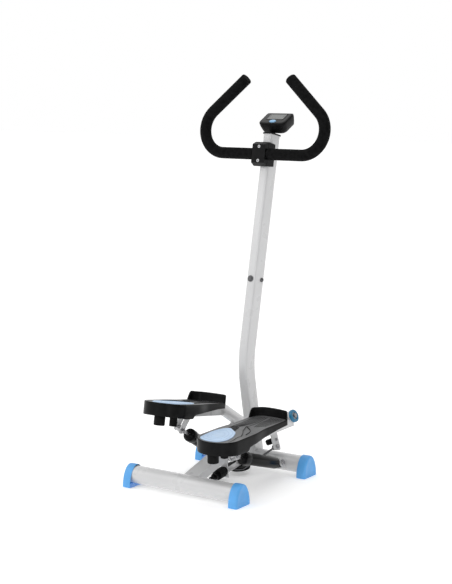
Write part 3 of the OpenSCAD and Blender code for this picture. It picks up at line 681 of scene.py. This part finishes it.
# ---------------------------------------------------------------- foot caps
for name, y in (("rear_foot_caps", -foot_y), ("front_foot_caps", foot_y)):
    pair = []
    for side in (1, -1):
        arch = []
        for k in range(33):
            a = math.pi * k / 32
            arch.append((38.0 * math.cos(a), 68.0 * math.sin(a)))
        prof = [(-38.0, 0.0)] + [(-q, z) for q, z in arch[1:-1]] + [(38.0, 0.0)]
        prof = rounded([(38.0, 0.0)] + arch[1:-1] + [(-38.0, 0.0)], [4] + [0] * 31 + [4], 4)
        n = len(prof)
        rows = []
        for x, inset in ((-30.0, 1.2), (-29.2, 0.35), (-28.2, 0.0), (-6.0, 0.0), (-3.2, 0.6),
                         (-1.4, 2.0), (-0.4, 4.0), (0.0, 6.5)):
            row = []
            for q, z in prof:
                w = (38.0 - inset) / 38.0
                h = (68.0 - inset) / 68.0
                row.append((210 + x, y + q * w, max(z * h, 0.0)))
            rows.append(row)
        verts = [v for row in rows for v in row]
        faces = []
        for r in range(len(rows) - 1):
            for i in range(n):
                j = (i + 1) % n
                faces.append((r * n + i, r * n + j, (r + 1) * n + j, (r + 1) * n + i))
        end = (len(rows) - 1) * n
        # slightly dished outer face
        base = len(verts)
        for f, dip in ((0.86, 0.5), (0.8, 1.1), (0.4, 1.3)):
            for q, z in prof:
                w, h = (38 - 6.5) / 38 * f, (68 - 6.5) / 68
                zc = 26.0
                verts.append((210 - dip, y + q * w, zc + (z * h - zc) * f))
        chain = [end, base, base + n, base + 2 * n]
        for s, e in zip(chain, chain[1:]):
            for i in range(n):
                j = (i + 1) % n
                faces.append((s + i, s + j, e + j, e + i))
        faces.append(tuple(range(base + 2 * n, base + 3 * n)))
        # socket round the tube
        hole = len(verts)
        for x in (180.0, 200.0):
            for k in range(48):
                a = 2 * math.pi * k / 48
                verts.append((x, y + 27.5 * math.cos(a), 36 + 27.5 * math.sin(a)))
        for k in range(48):
            l = (k + 1) % 48
            faces.append((hole + k, hole + l, hole + 48 + l, hole + 48 + k))
        pair.append(make("cap", verts, faces, blue, "frame", side_matrix(side),
                         sharp=50))
    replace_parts(join(name[:-1] + "_mouldings", pair), name)

# ---------------------------------------------------------------- pivots
for side in (1, -1):
    M = arm_matrix(side) @ on_pivot(161)
    cap = [(5.5, 5.0), (5.5, 0.0), (20.0, 0.0), (20.5, 0.6), (20.5, 6.6), (19.8, 8.4), (18.4, 9.5),
           (16.4, 9.9), (12.6, 9.7), (11.3, 9.0), (11.0, 7.6), (11.0, 5.0)]
    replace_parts(lathe(side_name[side] + "_cap_moulding", cap, M, teal, side_name[side] + "_arm"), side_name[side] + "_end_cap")

# ---------------------------------------------------------------- dampers
for side in (1, -1):
    M, name = damper_matrix(side), side_name[side]
    tube = [(16.5, 34), (0.01, 34), (0.01, 22.5), (15.5, 22.5), (17.6, 23.2), (18.7, 24.8),
            (19.0, 27), (19.0, 181), (18.6, 182), (16.5, 182)]
    a = lathe("a", tube, M, gloss_black, name + "_damper")
    knuckle = [(5.05, -8.0), (11.2, -8.0), (12.0, -7.2), (12.0, 7.2), (11.2, 8.0), (5.05, 8.0)]
    b = lathe("b", knuckle, M @ turn("Y", 90), gloss_black, name + "_damper")
    c = block("c", (-8, -9, 9), (8, 9, 24), 1.5, M, gloss_black, name + "_damper")
    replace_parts(join(name + "_damper_body", [a, b, c]), name + "_damper_cylinder")
    top = 212.0
    collar = [(5.05, top - 40), (16.2, top - 40), (16.2, top - 30), (20.0, top - 30),
              (20.8, top - 29.2), (21.0, top - 28), (21.0, top - 6), (20.6, top - 4.7),
              (19.6, top - 4), (15.4, top - 4), (15.0, top - 3.6), (15.0, top - 0.8),
              (14.2, top), (5.05, top)]
    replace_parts(lathe(name + "_damper_head", collar, M, gloss_black, name + "_damper"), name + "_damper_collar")

# ---------------------------------------------------------------- cable and pulley
groove = 34.5


def pulley_point(a):
    a, t = math.radians(a), math.radians(7)
    return Vector((groove * math.cos(a), 101 + groove * math.sin(a) * math.cos(t),
                   24 + groove * math.sin(a) * math.sin(t)))


def ear_point(b, s):
    v = Vector((b * math.sin(slope), 0, -b * math.cos(slope)))
    return pivot + pivot_axis * s + Matrix.Rotation(math.radians(-15), 4, pivot_axis) @ v


leaves = {1: -32.7, -1: -36.4}
wrap = [(groove * math.cos(math.radians(a)), groove * math.sin(math.radians(a)), 0)
        for a in [216.4 + (327.3 - 216.4) * k / 40 for k in range(41)]]
wrap_obj = sweep("cable_wrap", wrap, 2.0, pulley_matrix, wire, "frame", sides=14)
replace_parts(wrap_obj, "step_cable")
for side in (1, -1):
    p = pulley_point(leaves[side])
    e = swung(ear_point(73, 65), rest[side])
    q = e + (p - e).normalized() * 44
    path = [p + (q - p) * (k / 14) for k in range(15)]
    run = sweep(side_name[side] + "_cable_run", path, 2.0, side_matrix(side), wire, None,
                sides=14)
    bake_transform(run)

# ---------------------------------------------------------------- handlebar foam
half, bend_r, bend_turn, tail = 145.0, 75.6, 137.6, 157.9
foam_start, foam_radius = 28.3, 18.2
for side in (1, -1):
    path = [(foam_start + (half - foam_start) * k / 12, 0, 0) for k in range(13)]
    for k in range(1, 33):
        a = math.radians(-90 + bend_turn * k / 32)
        path.append((half + bend_r * math.cos(a), 0, bend_r + bend_r * math.sin(a)))
    end, a = Vector(path[-1]), math.radians(bend_turn)
    d = Vector((math.cos(a), 0, math.sin(a)))
    for k in range(1, 13):
        path.append(tuple(end + d * ((tail - 4) * k / 12)))
    o = sweep("foam_%s" % side_name[side], path, foam_radius, bar_matrix @ (MIRROR if side < 0 else
              Matrix.Identity(4)), foam, "frame", sides=48,
              ends=[(1.6, 0.975), (3.0, 0.9), (3.8, 0.78), (4.0, 0.6)], up=(0, 1, 0))
    if side > 0:
        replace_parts(o, "foam_grips")


# ---------------------------------------------------------------- console
def console_ring(w, d, near_r, far_r, steps=8):
    pts = [(-w / 2, -d / 2), (w / 2, -d / 2), (w / 2, d / 2), (-w / 2, d / 2)]
    return rounded(pts, [near_r, near_r, far_r, far_r], steps)


def lofted(name, rows, mat, body, matrix, close=True, sharp=40):
    n = len(rows[0])
    verts = [v for row in rows for v in row]
    faces = []
    for r in range(len(rows) - 1):
        for i in range(n):
            j = (i + 1) % n
            faces.append((r * n + i, r * n + j, (r + 1) * n + j, (r + 1) * n + i))
    if close:
        faces.append(tuple(range(n)))
        faces.append(tuple(range((len(rows) - 1) * n, len(rows) * n)))
    return make(name, verts, faces, mat, body, matrix, sharp)


screen_up = 9
rows = []
# height from the face, width, length and shift away from the user
shell_rows = [(-37.2, 74, 58, 3), (-38.0, 78, 60, 2.5), (-37.6, 81, 62, 2), (-36, 84, 64, 1.5),
              (-24, 91, 67, 0.6), (-10, 96.5, 69, 0), (-4.5, 97.6, 69, 0), (-3.6, 97.4, 68.8, 0),
              (-3.4, 96.2, 67.8, 0), (-2.6, 96.2, 67.8, 0), (-2.4, 97.2, 68.6, 0),
              (-1.2, 96.8, 68.2, 0), (-0.3, 95.2, 66.8, 0), (0.0, 93.0, 64.8, 0)]
for z, w, d, dy in shell_rows:
    rows.append([(x, y + dy, z) for x, y in console_ring(w, d, 17, 7)])
shell = lofted("console_shell", rows, plastic, "frame", console_matrix)
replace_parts(shell, "console_case", "console_bezel", "console_board")

rows = []
for z, w, d in ((-0.4, 87, 57), (0.25, 86, 56.2), (0.3, 85, 55.4)):
    rows.append([(x, y, z) for x, y in console_ring(w, d, 17, 7)])
lofted("console_face", rows, bezel_grey, "frame", console_matrix)
rows = []
for z, w, d in ((-0.2, 66, 39), (0.65, 65.4, 38.4), (0.75, 64.6, 37.6)):
    rows.append([(x, y + screen_up, z) for x, y in console_ring(w, d, 4.5, 4.5, 5)])
lofted("console_screen_frame", rows, gloss_black, "frame", console_matrix)
rows = []
for z, w, d in ((-0.2, 60, 33), (1.0, 59, 32), (1.1, 56.5, 29.5), (0.9, 55.5, 28.5),
                (0.85, 55, 28)):
    rows.append([(x, y + screen_up, z) for x, y in console_ring(w, d, 3.5, 3.5, 5)])
window = lofted("console_window", rows, display, "frame", console_matrix)
rows = []
for z, w, d in ((0.2, 46, 21), (0.98, 46, 21)):
    rows.append([(x, y + screen_up, z) for x, y in console_ring(w, d, 1.5, 1.5, 3)])
lofted("console_lcd", rows, display_lcd, "frame", console_matrix)
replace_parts(window, "lcd_window")
M = console_matrix @ Matrix.Translation((0, -20, 0)) @ Matrix.Diagonal((1.5, 1, 1, 1))
cap = [(0.01, -5), (7.9, -5), (7.9, 1.0), (7.5, 1.9), (6.4, 2.5), (3.7, 2.8), (0.01, 2.9)]
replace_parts(lathe("button_cap", cap, M, button, "button"), "console_button")

# ---------------------------------------------------------------- stage, light, camera
bpy.ops.mesh.primitive_plane_add(size=40, location=(0, 0, 0))
floor = bpy.context.object
floor.name = "floor"
fm = bpy.data.materials.new("floor_white")
fm.use_nodes = True
fm.node_tree.nodes["Principled BSDF"].inputs["Base Color"].default_value = (0.93, 0.93, 0.93, 1)
fm.node_tree.nodes["Principled BSDF"].inputs["Roughness"].default_value = 0.9
fm.node_tree.nodes["Principled BSDF"].inputs["Emission Color"].default_value = (1, 1, 1, 1)
fm.node_tree.nodes["Principled BSDF"].inputs["Emission Strength"].default_value = 0.30
floor.data.materials.append(fm)

world = bpy.data.worlds.new("studio") if not bpy.context.scene.world else bpy.context.scene.world
bpy.context.scene.world = world
world.use_nodes = True
bg = world.node_tree.nodes["Background"]
bg.inputs[0].default_value = (1, 1, 1, 1)
# the surround is white, and dimmer on the machine's right
wt = world.node_tree
way = wt.nodes.new("ShaderNodeTexCoord")
split = wt.nodes.new("ShaderNodeSeparateXYZ")
span = wt.nodes.new("ShaderNodeMapRange")
span.inputs["From Min"].default_value, span.inputs["From Max"].default_value = -0.1, 0.9
span.inputs["To Min"].default_value, span.inputs["To Max"].default_value = 1.0, 0.40
wt.links.new(way.outputs["Generated"], split.inputs[0])
wt.links.new(split.outputs["X"], span.inputs["Value"])
wt.links.new(span.outputs[0], bg.inputs[1])
bpy.context.scene.view_settings.view_transform = "Standard"


def area(name, loc, target, size, power):
    data = bpy.data.lights.new(name, "AREA")
    data.shape = "RECTANGLE"
    data.size, data.size_y = size
    data.energy = power
    obj = bpy.data.objects.new(name, data)
    bpy.context.collection.objects.link(obj)
    obj.location = loc
    obj.rotation_euler = (Vector(target) - Vector(loc)).to_track_quat("-Z", "Y").to_euler()
    return obj


area("key", (-2.2, -2.4, 2.6), (0, 0, 0.5), (1.6, 2.2), 9)
area("strip", (2.1, -3.2, 1.5), (0, 0, 0.6), (0.12, 2.6), 12)
area("top", (0.2, 0.4, 3.4), (0, 0, 0), (2.2, 2.2), 14)

cam_data = bpy.data.cameras.new("camera")
cam = bpy.data.objects.new("camera", cam_data)
bpy.context.collection.objects.link(cam)
cam.location = (2.4405, -3.5588 + shift_y / 1000, 1.2467)
cam.rotation_euler = (math.radians(90 - 8.63), 0, math.radians(34.23))
cam_data.sensor_width = 36
cam_data.lens = 1434.62 / 584 * 36
cam_data.clip_end = 100
bpy.context.scene.camera = cam
